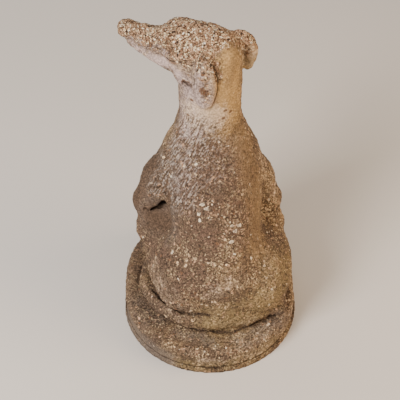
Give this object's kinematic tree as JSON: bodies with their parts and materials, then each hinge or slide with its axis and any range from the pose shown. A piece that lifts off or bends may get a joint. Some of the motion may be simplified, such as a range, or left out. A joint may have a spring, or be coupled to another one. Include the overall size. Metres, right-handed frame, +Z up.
{
  "type": "cast stone dog statue",
  "caption": "Weathered cast stone hound seated with its head turned to its left, on a low plinth with half-round ends.",
  "frame": {"origin": "middle of the plinth's flat underside, on the floor", "axes": "+Z up, the hound's body faces -Y, +X to the hound's own left, where its head turns"},
  "size_m": [0.304, 0.35, 0.5323],
  "materials": {
    "weathered_cast_stone": "coarse weathered cast stone with pits, pale grains, lichen and a little moss"
  },
  "bodies": {
    "root": {"seated_hound": "weathered_cast_stone"}
  },
  "joints": []
}
